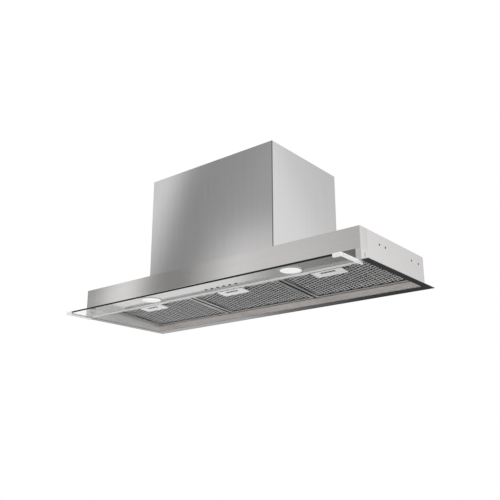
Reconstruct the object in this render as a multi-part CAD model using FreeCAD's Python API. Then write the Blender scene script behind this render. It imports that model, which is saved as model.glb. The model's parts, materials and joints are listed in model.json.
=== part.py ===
import FreeCAD, Part
import math
import os

# Built-in cooker hood, 90 cm class, with a pull-out glass visor.
# Millimetres. X runs across the hood, Y from front to wall, Z up.
# The origin is on the upper face of the rear flange, at mid width: that face
# seats against the underside of the cabinet.

Vector = FreeCAD.Vector
UP = Vector(0, 0, 1)
ACROSS = Vector(1, 0, 0)
BACK = Vector(0, 1, 0)

# Canopy box
box_width = 860.0
box_height = 71.4
sheet = 1.0
overrun = 5.0
seat_gap = 0.3

# Flange around the two sides and the rear
flange_side = 15.8
flange_rear = 17.6
flange_thick = 1.2
flange_side_inset = 2.1
flange_rear_inset = 14.0
crease_width = 0.4
crease_depth = 0.3

# Front panel and the corner posts under it
panel_bottom = 23.6
panel_return = 28.0
panel_hem = 4.0
post_width = 12.6
post_slot_depth_at = 15.2
post_slot_height_at = 12.6
post_slot_width = 2.8
post_slot_length = 9.0

# Screw holes in the side walls
side_hole_radius = 2.6
side_hole_height = 49.3
front_pair_at = 79.0
front_pair_pitch = 25.6
rear_pair_at = 226.0
rear_pair_pitch = 34.9

# Control and lamp strip
strip_depth = 78.0
strip_gap = 0.3
lip_bottom = 17.0
lip_side_gap = 68.0

# Lamps
lamp_spacing = 448.0
lamp_depth_at = 46.5
lamp_rim_radius = 30.0
lamp_rim_thick = 1.2
lamp_opening_radius = 25.0
lamp_sleeve_radius = 27.9
lamp_sleeve_wall = 1.5
lamp_sleeve_height = 6.0
lens_thick = 2.0
lamp_case_wall = 1.8
lamp_case_height = 19.0
lamp_fin_height = 7.0
lamp_fin_thick = 1.6
lamp_fin_count = 7

# Push buttons and the switch box over them
button_count = 6
button_pitch = 19.2
button_row_offset = 7.0
button_depth_at = 58.0
button_radius = 3.6
button_proud = 1.2
button_travel = 2.0
button_flange_radius = 5.2
button_flange_thick = 1.2
button_stem_radius = 2.0
button_stem_length = 3.8
switch_side = 7.0
switch_height = 3.8
board_thick = 1.6
switch_box_end = 11.0
switch_box_depth = 23.0
switch_box_wall = 1.5
switch_box_head = 4.0
board_ledge = 3.0

# Rails that hold the filters
front_rail_top = 46.0
front_rail_foot = 6.0
rear_rail_height = 15.0

# Grease filters
filter_count = 3
filter_side_room = 6.0
filter_gap = 7.0
filter_room = 19.7
filter_length = 190.0
filter_thick = 9.0
filter_tilt = 4.4
filter_edge_gap = 0.6
filter_side_border = 9.0
filter_rear_border = 9.0
filter_front_border = 24.0
filter_lip_thick = 1.2
mesh_inset = 0.3
mesh_columns = 12
mesh_rows = 27
mesh_margin = 5.0
mesh_strand = 1.6
tongue_width = 14.0
tongue_length = 7.6
tongue_thick = 2.0
tongue_at_share = 0.34

# Filter latch, with its finger plate
latch_width = 80.0
latch_plate_depth = 46.0
latch_plate_thick = 1.6
latch_drop = 6.2
latch_setback = 2.0
latch_travel = 5.0
latch_slide_width = 48.0
latch_slide_depth = 19.0
latch_slide_thick = 2.0
latch_nose_width = 16.0
latch_nose_height = 5.0
latch_nose_reach = 3.3
latch_finger_width = 40.0
latch_finger_depth = 8.0
hook_thick = 1.6
hook_reach = 3.2

# Glass visor and its guides
visor_reach = 69.0
visor_side_gap = 5.4
arm_thick = 3.0
arm_height = 7.6
arm_drop = 0.4
corner_width = 20.0
corner_depth = 6.4
corner_extra_height = 0.4
glass_thick = 4.0
glass_setback = 3.0
glass_depth = 74.0
glass_drop = 0.9
ledge_width = 4.0
ledge_thick = 1.0
tongue_rib_reach = 1.7
tongue_rib_height = 2.0
arm_tail_length = 3.0
arm_tail_height = 6.0
guide_length = 28.0
shoe_length = 8.0
guide_height = 22.0
guide_flange_gap = 0.4
guide_tab_width = 7.0
guide_tab_thick = 1.8
guide_tab_bottom = 3.0
guide_hole_radius = 1.8
guide_hole_shares = (0.26, 0.74)

# Blower housing on the roof
housing_width = 398.8
housing_front_at = 15.1
housing_height = 267.8
housing_flange = 12.0

# Duct collar with its non-return flaps
collar_radius = 75.0
collar_wall = 2.0
collar_height = 38.0
collar_flange_radius = 98.0
collar_flange_thick = 2.0
flap_stop_height = 14.3
flap_stop_thick = 1.5
flap_stop_width = 3.0
flap_thick = 1.2
flap_edge_gap = 0.8
flap_lift = 0.5
axle_radius = 2.0
axle_rise = 3.5
axle_clearance = 0.08
knuckle_radius = 3.6
knuckle_gap = 0.6
knuckle_count = 5

# Blower scroll
scroll_half_width = 78.0
scroll_wall = 2.0
scroll_growth = 8.0
scroll_first_radius = 88.0
scroll_setback = 30.0
scroll_floor_gap = 4.0
scroll_rear_gap = 13.3
scroll_inlet_radius = 64.0
scroll_outlet_back = 48.0
scroll_rim = 8.0

# Impeller, motor and motor bracket
wheel_radius = 72.0
wheel_half_width = 66.0
wheel_disc_thick = 3.0
wheel_ring_thick = 2.0
blade_count = 36
blade_chord = 15.0
blade_thick = 1.2
blade_angle = 35.0
hub_radius = 12.0
hub_half_width = 10.0
shaft_radius = 4.0
shaft_gap = 0.3
motor_radius = 38.0
motor_end_gap = 4.0
motor_flange_radius = 49.0
motor_flange_thick = 3.0
motor_shoulder_radius = 22.0
motor_shoulder_length = 8.0
bracket_thick = 2.0
bracket_arm_width = 10.0
bracket_arm_count = 3
bracket_rim_width = 8.0
inlet_ring_lip = 5.0

# Electrical pieces
capacitor_radius = 17.0
capacitor_length = 62.0
capacitor_stud = 8.0
capacitor_stud_radius = 4.0
capacitor_height_at = 120.0
terminal_box_width = 46.0
terminal_box_depth = 90.0
terminal_box_height = 62.0
terminal_box_wall = 2.0
terminal_box_lift = 20.0
terminal_block_depth = 56.0
terminal_block_height = 18.0
terminal_block_width = 14.0
terminal_ways = 5
terminal_way_radius = 2.2
gland_bore_radius = 4.5
gland_radius = 8.0
gland_nut_radius = 11.0
gland_nut_height = 6.0
gland_height = 24.0
gland_below = 8.0
gland_side_inset = 49.4
gland_rear_at = 32.0
driver_depth = 34.0
driver_height = 22.0
driver_gap = 18.0

# Screws
screw_radius = 1.9
screw_length = 6.0
screw_head_radius = 3.6
screw_head_height = 2.2
screw_clearance = 0.1
motor_screw_length = 5.0

# Places worked out from the sizes above
box_depth = strip_depth + filter_length + filter_room
front_y = -(box_depth + flange_rear / 2)
half_width = box_width / 2
inner_half = half_width - sheet
lip_half_width = half_width - lip_side_gap
visor_half_width = half_width - visor_side_gap
filter_pitch = (box_width - 2 * filter_side_room) / filter_count
filter_width = filter_pitch - filter_gap
wall_y = front_y + box_depth
roof_z = box_height
roof_under = box_height - sheet
housing_half = housing_width / 2
gland_side_at = housing_half - gland_side_inset
housing_top = roof_z + housing_height
housing_front = front_y + housing_front_at
housing_mid = (housing_front + wall_y) / 2
strip_top = panel_bottom + sheet
lamp_case_radius = lamp_sleeve_radius + seat_gap + lamp_case_wall
pivot_y = wall_y - flange_rear_inset - filter_edge_gap
pivot_z = rear_rail_height + seat_gap + tongue_length * math.sin(math.radians(filter_tilt))
guide_front = front_y + sheet + seat_gap
guide_back = guide_front + guide_length
hook_depth = latch_slide_depth + latch_travel
wheel_y = wall_y - sheet - scroll_rear_gap - scroll_first_radius - scroll_growth / 2
collar_y = wheel_y - scroll_setback
scroll_bottom_radius = scroll_first_radius + scroll_growth
wheel_z = roof_z + sheet + scroll_floor_gap + scroll_bottom_radius + scroll_growth / 2
outlet_top = housing_top - sheet


def box(x0, x1, y0, y1, z0, z1):
    """A block between two corners."""
    return Part.makeBox(x1 - x0, y1 - y0, z1 - z0, Vector(x0, y0, z0))


def pillar(radius, x, y, z0, z1):
    """An upright cylinder."""
    return Part.makeCylinder(radius, z1 - z0, Vector(x, y, z0), UP)


def roller(radius, x0, x1, y, z):
    """A cylinder lying along X."""
    return Part.makeCylinder(radius, x1 - x0, Vector(x0, y, z), ACROSS)


def rod(radius, x, y0, y1, z):
    """A cylinder lying along Y."""
    return Part.makeCylinder(radius, y1 - y0, Vector(x, y0, z), BACK)


def join(shapes):
    """One solid from pieces that touch or overlap."""
    if len(shapes) == 1:
        return shapes[0]
    return shapes[0].multiFuse(shapes[1:]).removeSplitter()


def mirrored(shape):
    """The same shape on the other side of the hood's middle."""
    return shape.mirror(Vector(0, 0, 0), ACROSS)


def save(name, shape):
    """Write one node."""
    shape.exportStep("parts/" + name + ".step")


def save_pair(name, right):
    """Write a right-hand piece and its mirrored twin."""
    save(name + "_right", right)
    save(name + "_left", mirrored(right))


def side_hole_places():
    """Y of the four screw holes in each side wall."""
    front = front_y + front_pair_at
    rear = front_y + rear_pair_at
    return [front, front + front_pair_pitch, rear, rear + rear_pair_pitch]


def roof_screw_places():
    """Where the housing's lower flanges are screwed to the roof."""
    x = housing_half - sheet - housing_flange / 2
    reach = (wall_y - housing_front) / 2 - housing_flange * 2
    return [(sx * x, housing_mid + sy * reach) for sx in (-1, 1) for sy in (-1, 0, 1)]


def top_screw_places():
    """Where the housing's top plate is screwed to the wrap's upper flanges."""
    x = housing_half - sheet - housing_flange / 2
    reach = (wall_y - housing_front) / 2 - housing_flange * 2
    return [(sx * x, housing_mid + sy * reach) for sx in (-1, 1) for sy in (-1, 1)]


def outlet_screw_places():
    """Where the collar and the scroll's rim are screwed to the top plate."""
    x = scroll_half_width + scroll_rim / 2
    radius = (collar_radius + collar_flange_radius) / 2
    reach = math.sqrt(radius ** 2 - x ** 2)
    return [(sx * x, collar_y + sy * reach) for sx in (-1, 1) for sy in (-1, 1)]


def drill(shape, places, z0, z1):
    """Clearance holes for the sheet screws."""
    for x, y in places:
        shape = shape.cut(pillar(screw_radius + screw_clearance, x, y, z0 - overrun, z1 + overrun))
    return shape


def make_canopy_shell():
    """Roof, side walls and rear wall, folded from one sheet."""
    start = front_y + panel_return
    roof = box(-inner_half, inner_half, front_y + sheet, wall_y, roof_under, roof_z)
    rear = box(-half_width, half_width, wall_y - sheet, wall_y, 0, roof_z)
    shell = [roof, rear]
    for side in (-1, 1):
        low, high = sorted((side * inner_half, side * half_width))
        wall = box(low, high, start, wall_y, 0, roof_z)
        for y in side_hole_places():
            wall = wall.cut(roller(side_hole_radius, low - overrun, high + overrun, y, side_hole_height))
        shell.append(wall)
    shell = join(shell)
    opening_half = housing_half - sheet - housing_flange
    shell = shell.cut(box(-opening_half, opening_half, housing_front + sheet + housing_flange,
                          wall_y - sheet - housing_flange, roof_under - overrun, roof_z + overrun))
    return drill(shell, roof_screw_places(), roof_under, roof_z)


def make_front_panel():
    """Front panel with side returns, a hem along its foot and a fold under the roof."""
    face = box(-half_width, half_width, front_y, front_y + sheet, panel_bottom, roof_z)
    hem = box(-inner_half, inner_half, front_y, front_y + panel_hem, panel_bottom, strip_top)
    fold = box(-inner_half, inner_half, front_y, front_y + panel_return, roof_under - sheet, roof_under)
    pieces = [face, hem, fold]
    for side in (-1, 1):
        low, high = sorted((side * inner_half, side * half_width))
        pieces.append(box(low, high, front_y, front_y + panel_return, panel_bottom, roof_z))
    return join(pieces)


def make_mounting_flange():
    """U frame that seats under the cabinet, creased where the canopy stands on it."""
    outer = box(-half_width - flange_side, half_width + flange_side, front_y, wall_y + flange_rear,
                -flange_thick, 0)
    inner_x = half_width - flange_side_inset
    inner = box(-inner_x, inner_x, front_y - overrun, wall_y - flange_rear_inset,
                -flange_thick - overrun, overrun)
    crease_x = half_width + crease_width
    crease = box(-crease_x, crease_x, front_y - overrun, wall_y + crease_width, -crease_depth, overrun)
    crease = crease.cut(box(-half_width, half_width, front_y - overrun * 2, wall_y, -overrun, overrun * 2))
    return outer.cut(inner).cut(crease)


def make_corner_post():
    """Right-hand folded post below the front panel's end."""
    front = box(half_width - post_width, half_width, front_y, front_y + sheet, 0, panel_bottom)
    side = box(inner_half, half_width, front_y, front_y + panel_return, 0, panel_bottom)
    return join([front, side]).cut(post_slot(inner_half, 0))


def post_slot(start, margin):
    """Upright slot through the post's side leaf, from a given X outwards."""
    y = front_y + post_slot_depth_at
    half = post_slot_width / 2 + margin
    tall = post_slot_length / 2 + margin
    return box(start - overrun, half_width + overrun, y - half, y + half,
               post_slot_height_at - tall, post_slot_height_at + tall)


def lamp_places():
    """X of the two lamps."""
    return [-lamp_spacing / 2, lamp_spacing / 2]


def button_places():
    """X of the six buttons."""
    first = button_row_offset - button_pitch * (button_count - 1) / 2
    return [first + button_pitch * k for k in range(button_count)]


def make_control_strip():
    """Strip with the lamp and button holes, and a lip turned down along its rear edge."""
    back = front_y + strip_depth
    plate = box(-inner_half, inner_half, front_y + panel_hem + strip_gap, back, panel_bottom, strip_top)
    lip = box(-lip_half_width, lip_half_width, back - sheet, back, lip_bottom, strip_top)
    strip = join([plate, lip])
    low, high = panel_bottom - overrun, strip_top + overrun
    for x in lamp_places():
        strip = strip.cut(pillar(lamp_sleeve_radius + seat_gap, x, front_y + lamp_depth_at, low, high))
    for x in button_places():
        strip = strip.cut(pillar(button_radius + seat_gap, x, front_y + button_depth_at, low, high))
    return strip


def make_front_rail():
    """Upright rail behind the strip, which the filter latches press against."""
    back = front_y + strip_depth
    web = box(-lip_half_width, lip_half_width, back, back + sheet, lip_bottom, front_rail_top)
    foot = box(-lip_half_width, lip_half_width, back - front_rail_foot, back + sheet, strip_top, strip_top + sheet)
    head = box(-lip_half_width, lip_half_width, back - front_rail_foot, back + sheet,
               front_rail_top - sheet, front_rail_top)
    rail = join([web, foot, head])
    radius = lamp_case_radius + seat_gap
    for x in lamp_places():
        rail = rail.cut(pillar(radius, x, front_y + lamp_depth_at, strip_top, front_rail_top))
    return rail


def make_rear_rail():
    """Folded ledge in front of the rear wall that carries the filters' rear tongues."""
    front = wall_y - flange_rear_inset
    web = box(-inner_half, inner_half, front, front + sheet, 0, rear_rail_height)
    top = box(-inner_half, inner_half, front, wall_y - sheet, rear_rail_height - sheet, rear_rail_height)
    return join([web, top])


def make_lamp_bezel(x):
    """Rim under the strip with a sleeve through the hole."""
    y = front_y + lamp_depth_at
    inner = lamp_sleeve_radius - lamp_sleeve_wall
    rim = pillar(lamp_rim_radius, x, y, panel_bottom - lamp_rim_thick, panel_bottom)
    rim = rim.cut(pillar(lamp_opening_radius, x, y, -overrun, strip_top))
    rim = rim.makeFillet(lamp_rim_thick / 2, [e for e in rim.Edges if is_outer_rim(e)])
    sleeve = pillar(lamp_sleeve_radius, x, y, panel_bottom, panel_bottom + lamp_sleeve_height)
    sleeve = sleeve.cut(pillar(inner, x, y, 0, roof_z))
    return join([rim, sleeve])


def is_outer_rim(edge):
    """The bezel's lower outer edge."""
    if not hasattr(edge.Curve, "Radius"):
        return False
    low = edge.BoundBox.ZMax < panel_bottom - lamp_rim_thick / 2
    return low and edge.Curve.Radius > (lamp_opening_radius + lamp_rim_radius) / 2


def make_lamp_lens(x):
    """Frosted lens resting on the rim."""
    radius = lamp_sleeve_radius - lamp_sleeve_wall - seat_gap
    return pillar(radius, x, front_y + lamp_depth_at, panel_bottom, panel_bottom + lens_thick)


def make_lamp_case(x):
    """Lamp cup on top of the strip, with cooling fins."""
    y = front_y + lamp_depth_at
    inner = lamp_sleeve_radius + seat_gap
    outer = lamp_case_radius
    top = strip_top + lamp_case_height
    cup = pillar(outer, x, y, strip_top, top)
    cup = cup.cut(pillar(inner, x, y, 0, top - lamp_case_wall))
    fins = []
    pitch = outer * 2 / lamp_fin_count
    for k in range(lamp_fin_count):
        fx = x - outer + pitch * (k + 1 / 2)
        half = math.sqrt(max(outer ** 2 - (abs(fx - x) + lamp_fin_thick) ** 2, 0))
        fins.append(box(fx - lamp_fin_thick / 2, fx + lamp_fin_thick / 2, y - half, y + half,
                        top - lamp_case_wall / 2, top + lamp_fin_height))
    return join([cup] + fins)


def make_button(x):
    """Push button: cap, flange that stops it, and stem that works the switch."""
    y = front_y + button_depth_at
    flange_low = strip_top + seat_gap
    flange_high = flange_low + button_flange_thick
    cap = pillar(button_radius, x, y, panel_bottom - button_proud, flange_low)
    cap = cap.makeChamfer(button_proud / 3, [e for e in cap.Edges if e.BoundBox.ZMax < panel_bottom])
    flange = pillar(button_flange_radius, x, y, flange_low, flange_high)
    stem = pillar(button_stem_radius, x, y, flange_high, flange_high + button_stem_length)
    return join([cap, flange, stem])


def board_bottom():
    """Height of the control board's lower face."""
    stem_top = strip_top + seat_gap + button_flange_thick + button_stem_length
    return stem_top + button_travel + seat_gap + switch_height


def switch_box_ends():
    """Inner ends of the switch box."""
    places = button_places()
    return places[0] - switch_box_end, places[-1] + switch_box_end


def make_switches():
    """Six push switches under the board."""
    y = front_y + button_depth_at
    half = switch_side / 2
    high = board_bottom()
    shapes = [box(x - half, x + half, y - half, y + half, high - switch_height, high) for x in button_places()]
    return Part.makeCompound(shapes)


def make_control_board():
    """Circuit board that rests on the ledges of its box."""
    low, high = switch_box_ends()
    y = front_y + button_depth_at
    half = switch_box_depth / 2 - switch_box_wall - seat_gap
    z = board_bottom()
    return box(low + seat_gap, high - seat_gap, y - half, y + half, z, z + board_thick)


def make_switch_box():
    """Plastic box on the strip over the buttons."""
    low, high = switch_box_ends()
    y = front_y + button_depth_at
    half = switch_box_depth / 2
    inner = half - switch_box_wall
    top = board_bottom() + board_thick + switch_box_head
    body = box(low - switch_box_wall, high + switch_box_wall, y - half, y + half, strip_top, top)
    body = body.cut(box(low, high, y - inner, y + inner, strip_top - overrun, top - switch_box_wall))
    ledges = [box(low, low + board_ledge, y - inner, y + inner, board_bottom() - board_ledge, board_bottom()),
              box(high - board_ledge, high, y - inner, y + inner, board_bottom() - board_ledge, board_bottom())]
    return join([body] + ledges)


def make_led_driver():
    """Lamp power supply on the strip, between the left lamp and the switch box."""
    left = lamp_places()[0] + lamp_case_radius + driver_gap
    right = switch_box_ends()[0] - switch_box_wall - driver_gap
    y = front_y + lamp_depth_at - driver_depth / 2
    case = box(left, right, y, y + driver_depth, strip_top, strip_top + driver_height)
    edges = [e for e in case.Edges if e.BoundBox.ZMin > strip_top]
    return case.makeFillet(sheet, edges)


def filter_places():
    """X of each filter's middle, from left to right."""
    first = -filter_pitch * (filter_count - 1) / 2
    return [first + filter_pitch * k for k in range(filter_count)]


def tilt_into_place(shape, x):
    """Turn a filter piece from level to its slope and set its rear edge on the pivot."""
    shape.rotate(Vector(0, 0, 0), ACROSS, -filter_tilt)
    shape.translate(Vector(x, pivot_y, pivot_z))
    return shape


def make_filter_frame(x):
    """Folded frame with rear tongues and the hooks that hold its latch."""
    half = filter_width / 2
    frame = box(-half, half, -filter_length, 0, 0, filter_thick)
    side = half - filter_side_border
    front = -filter_length + filter_front_border
    frame = frame.cut(box(-side, side, front, -filter_rear_border, -overrun, filter_thick + overrun))
    groove = box(-half + filter_lip_thick, half - filter_lip_thick, front - filter_lip_thick,
                 -filter_lip_thick, filter_lip_thick, filter_thick - filter_lip_thick)
    frame = frame.cut(groove)
    pieces = [frame]
    for sign in (-1, 1):
        at = sign * filter_width * tongue_at_share
        pieces.append(box(at - tongue_width / 2, at + tongue_width / 2, -filter_lip_thick, tongue_length,
                          0, tongue_thick))
        edge = latch_slide_width / 2 + seat_gap
        low, high = sorted((sign * edge, sign * (edge + hook_thick)))
        start = -filter_length + latch_setback
        drop = seat_gap * 2 + latch_slide_thick + hook_thick
        pieces.append(box(low, high, start, start + hook_depth, -drop, 0))
        low, high = sorted((sign * (edge - hook_reach), sign * (edge + hook_thick)))
        pieces.append(box(low, high, start, start + hook_depth, -drop, -drop + hook_thick))
    return tilt_into_place(join(pieces), x)


def diamond(x, y, half_x, half_y, z):
    """Diamond-shaped wire."""
    points = [Vector(x - half_x, y, z), Vector(x, y - half_y, z), Vector(x + half_x, y, z),
              Vector(x, y + half_y, z), Vector(x - half_x, y, z)]
    return Part.makePolygon(points)


def make_filter_mesh(x):
    """Core of expanded metal, held in the frame's groove."""
    half = filter_width / 2 - filter_lip_thick - mesh_inset
    front = -filter_length + filter_front_border - filter_lip_thick + mesh_inset
    back = -filter_lip_thick - mesh_inset
    low = filter_lip_thick + mesh_inset
    high = filter_thick - filter_lip_thick - mesh_inset
    corners = [(-half, front), (half, front), (half, back), (-half, back), (-half, front)]
    wires = [Part.makePolygon([Vector(cx, cy, low) for cx, cy in corners])]
    open_half = filter_width / 2 - filter_side_border - mesh_margin
    open_front = -filter_length + filter_front_border + mesh_margin
    open_back = -filter_rear_border - mesh_margin
    pitch_x = open_half * 2 / mesh_columns
    pitch_y = (open_back - open_front) / mesh_rows
    share = 1 - mesh_strand / 2 * math.hypot(2 / pitch_x, 1 / pitch_y)
    for row in range(mesh_rows):
        shift = pitch_x / 2 * (row % 2)
        for column in range(mesh_columns - row % 2):
            cx = -open_half + pitch_x * (column + 1 / 2) + shift
            cy = open_front + pitch_y * (row + 1 / 2)
            wires.append(diamond(cx, cy, pitch_x / 2 * share, pitch_y * share, low))
    sheet_face = Part.Face(wires[0])
    holes = [Part.Face(w) for w in wires[1:]]
    core = sheet_face.extrude(Vector(0, 0, high - low))
    cutters = [h.extrude(Vector(0, 0, high - low)) for h in holes]
    core = core.cut(Part.makeCompound(cutters))
    return tilt_into_place(core, x)


def make_filter_latch(x):
    """Sprung latch: slide plate, nose that meets the front rail, and finger plate."""
    start = -filter_length + latch_setback
    half = latch_slide_width / 2
    high = -seat_gap
    low = high - latch_slide_thick
    slide = box(-half, half, start, start + latch_slide_depth, low, high)
    nose = box(-latch_nose_width / 2, latch_nose_width / 2, -filter_length - latch_nose_reach,
               start + latch_plate_thick, high - latch_nose_height, high)
    plate_half = latch_width / 2
    neck_half = half - hook_reach - seat_gap
    neck = box(-neck_half, neck_half, start, start + latch_plate_thick, -latch_drop, low)
    plate = box(-plate_half, plate_half, start, start + latch_plate_depth,
                -latch_drop, -latch_drop + latch_plate_thick)
    corners = [e for e in plate.Edges if abs(e.tangentAt(e.FirstParameter).z) > 1 / 2]
    plate = plate.makeFillet(latch_plate_thick, corners)
    finger_y = start + latch_plate_depth / 2
    finger = box(-latch_finger_width / 2, latch_finger_width / 2, finger_y - latch_finger_depth / 2,
                 finger_y + latch_finger_depth / 2, -latch_drop - overrun, -latch_drop + overrun)
    latch = join([slide, nose, neck, plate.cut(finger)])
    return tilt_into_place(latch, x)


def rib_level():
    """Middle height of the rib along each visor arm."""
    return -arm_drop - arm_height / 2


def make_visor_arm():
    """Right-hand arm: flat bar, ledge for the glass, rib for the guide and end stop."""
    outer = visor_half_width
    inner = outer - arm_thick
    start = front_y - visor_reach + corner_depth + seat_gap
    tail = guide_front + shoe_length + seat_gap
    back = tail + arm_tail_length
    top = -arm_drop
    bar = box(inner, outer, start, back, top - arm_height, top)
    glass_bottom = -glass_drop - glass_thick
    glass_back = front_y - visor_reach + glass_setback + glass_depth
    ledge = box(inner - ledge_width, outer, start, glass_back, glass_bottom - seat_gap - ledge_thick,
                glass_bottom - seat_gap)
    half = tongue_rib_height / 2
    rib = box(inner, outer + tongue_rib_reach, start, back, rib_level() - half, rib_level() + half)
    half = arm_tail_height / 2
    stop = box(inner, outer + tongue_rib_reach, tail, back, rib_level() - half, rib_level() + half)
    return join([bar, ledge, rib, stop])


def make_visor_corner():
    """Right-hand corner block that joins the arm to the glass."""
    outer = visor_half_width
    front = front_y - visor_reach
    top = -arm_drop
    block = box(outer - corner_width, outer, front, front + corner_depth,
                top - arm_height - corner_extra_height, top)
    upright = [e for e in block.Edges if abs(e.tangentAt(e.FirstParameter).z) > 1 / 2]
    return block.makeFillet(sheet, upright)


def make_visor_glass():
    """Clear glass plate with notched front corners."""
    half = visor_half_width - arm_thick - seat_gap
    front = front_y - visor_reach + glass_setback
    low = -glass_drop - glass_thick
    high = -glass_drop
    plate = box(-half, half, front, front + glass_depth, low, high)
    notch_back = front_y - visor_reach + corner_depth + seat_gap
    notch_side = visor_half_width - corner_width - seat_gap
    for side in (-1, 1):
        near, far = sorted((side * notch_side, side * (half + overrun)))
        plate = plate.cut(box(near, far, front - overrun, notch_back, low - overrun, high + overrun))
    return plate


def make_visor_guide():
    """Right-hand guide on the side wall: grooved shoe for the arm's rib, and a front tab."""
    inner = visor_half_width + seat_gap
    lower_outer = half_width - flange_side_inset - guide_flange_gap
    low = -arm_drop - arm_height
    shoe = box(inner, lower_outer, guide_front, guide_front + shoe_length, low, guide_flange_gap * 2)
    body = box(inner, inner_half, guide_front, guide_back, guide_flange_gap, guide_height)
    tab_inner = inner - guide_tab_width
    tab = box(tab_inner, inner_half, guide_front, guide_front + guide_tab_thick, guide_tab_bottom, guide_height)
    guide = join([shoe, body, tab])
    half = tongue_rib_height / 2 + seat_gap
    groove = box(inner - overrun, visor_half_width + tongue_rib_reach + seat_gap, guide_front - overrun,
                 guide_back + overrun, rib_level() - half, rib_level() + half)
    guide = guide.cut(groove).cut(post_slot(inner, seat_gap))
    hole_x = tab_inner + guide_tab_width / 2
    for share in guide_hole_shares:
        hole_z = guide_tab_bottom + (guide_height - guide_tab_bottom) * share
        guide = guide.cut(rod(guide_hole_radius, hole_x, guide_front - overrun, guide_front + overrun, hole_z))
        hole_y = guide_front + guide_length * share
        guide = guide.cut(roller(guide_hole_radius, inner - overrun, inner + guide_tab_thick, hole_y,
                                 guide_height / 2))
    return guide


def make_housing_wrap():
    """Front and side walls of the blower housing, with flanges at head and foot."""
    half = housing_half
    top = housing_top - sheet
    back = wall_y - sheet
    front = box(-half, half, housing_front, housing_front + sheet, roof_z, top)
    pieces = [front]
    for side in (-1, 1):
        low, high = sorted((side * (half - sheet), side * half))
        pieces.append(box(low, high, housing_front, back, roof_z, top))
        low, high = sorted((side * (half - sheet - housing_flange), side * half))
        pieces.append(box(low, high, housing_front, back, roof_z, roof_z + sheet))
        pieces.append(box(low, high, housing_front, back, top - sheet, top))
    wrap = join(pieces)
    wrap = drill(wrap, roof_screw_places(), roof_z, roof_z + sheet)
    return drill(wrap, top_screw_places(), top - sheet, top)


def make_housing_rear():
    """Rear wall of the blower housing."""
    return box(-housing_half, housing_half, wall_y - sheet, wall_y, roof_z, housing_top - sheet)


def make_housing_top():
    """Top plate with the duct hole and the cable hole."""
    top = housing_top
    plate = box(-housing_half, housing_half, housing_front, wall_y, top - sheet, top)
    plate = plate.cut(pillar(collar_radius - collar_wall, 0, collar_y, top - overrun, top + overrun))
    plate = plate.cut(pillar(gland_radius + seat_gap, gland_side_at, wall_y - gland_rear_at,
                             top - overrun, top + overrun))
    plate = drill(plate, top_screw_places(), top - sheet, top)
    return drill(plate, outlet_screw_places(), top - sheet, top)


def collar_levels():
    """Heights of the collar's base, flap stop, flap underside and axle."""
    base = housing_top
    stop = base + flap_stop_height
    flap = stop + flap_stop_thick + flap_lift
    axle = flap + flap_thick / 2 + axle_rise - flap_thick
    return base, stop, flap, axle


def make_duct_collar():
    """Round duct collar with the ring that the flaps close on."""
    base, stop, flap, axle = collar_levels()
    inner = collar_radius - collar_wall
    tube = pillar(collar_radius, 0, collar_y, base, base + collar_height)
    flange = pillar(collar_flange_radius, 0, collar_y, base, base + collar_flange_thick)
    body = join([tube, flange]).cut(pillar(inner, 0, collar_y, base - overrun, base + collar_height + overrun))
    ring = pillar(inner + collar_wall / 2, 0, collar_y, stop, stop + flap_stop_thick)
    ring = ring.cut(pillar(inner - flap_stop_width, 0, collar_y, stop - overrun, stop + overrun))
    body = join([body, ring])
    reach = collar_radius + overrun
    hole = rod(axle_radius + screw_clearance, 0, collar_y - reach, collar_y + reach, axle)
    body = body.cut(hole)
    return drill(body, outlet_screw_places(), base, base + collar_flange_thick)


def make_flap_axle():
    """Pin across the collar that both flaps turn on."""
    axle = collar_levels()[3]
    reach = collar_radius - collar_wall / 2
    return rod(axle_radius, 0, collar_y - reach, collar_y + reach, axle)


def make_flap(side):
    """Half-round non-return flap with its knuckles on the shared axle."""
    base, stop, flap, axle = collar_levels()
    radius = collar_radius - collar_wall - flap_edge_gap
    disc = pillar(radius, 0, collar_y, flap, flap + flap_thick)
    near = knuckle_radius + knuckle_gap
    low, high = sorted((side * near, side * (radius + overrun)))
    plate = disc.common(box(low, high, collar_y - radius, collar_y + radius, flap, flap + flap_thick))
    span = radius * 2 - knuckle_radius * 4
    pitch = span / knuckle_count
    pieces = [plate]
    for k in range(knuckle_count):
        owner = 1 if k % 2 == 0 else -1
        if owner != side:
            continue
        y0 = collar_y - span / 2 + pitch * k + knuckle_gap / 2
        y1 = y0 + pitch - knuckle_gap
        low, high = sorted((0, side * (near + knuckle_gap)))
        pieces.append(box(low, high, y0, y1, flap, flap + flap_thick))
        pieces.append(rod(knuckle_radius, 0, y0, y1, axle))
    joined = join(pieces)
    bore = axle_radius + axle_clearance
    return joined.cut(rod(bore, 0, collar_y - collar_radius, collar_y + collar_radius, axle))


def volute_wire(x, inset):
    """Outline of the scroll in the YZ plane at X, drawn in by inset."""
    e = scroll_growth / 2
    r1 = scroll_first_radius - inset
    r2 = r1 + scroll_growth
    r3 = r2 + scroll_growth
    top = outlet_top - wheel_z - inset

    def at(u, v):
        return Vector(x, wheel_y + u, wheel_z + v)

    def on_arc(u, v, radius, angle):
        a = math.radians(angle)
        return at(u + radius * math.cos(a), v + radius * math.sin(a))

    first = Part.Arc(on_arc(e, -e, r1, 90), on_arc(e, -e, r1, 45), on_arc(e, -e, r1, 0))
    second = Part.Arc(on_arc(-e, -e, r2, 0), on_arc(-e, -e, r2, -45), on_arc(-e, -e, r2, -90))
    third = Part.Arc(on_arc(-e, e, r3, -90), on_arc(-e, e, r3, -135), on_arc(-e, e, r3, 180))
    corners = [on_arc(-e, e, r3, 180), at(-e - r3, top), at(scroll_outlet_back - inset, top),
               on_arc(e, -e, r1, 90)]
    edges = [first.toShape(), second.toShape(), third.toShape()]
    edges += [Part.LineSegment(a, b).toShape() for a, b in zip(corners, corners[1:])]
    return Part.Wire(edges)


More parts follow.
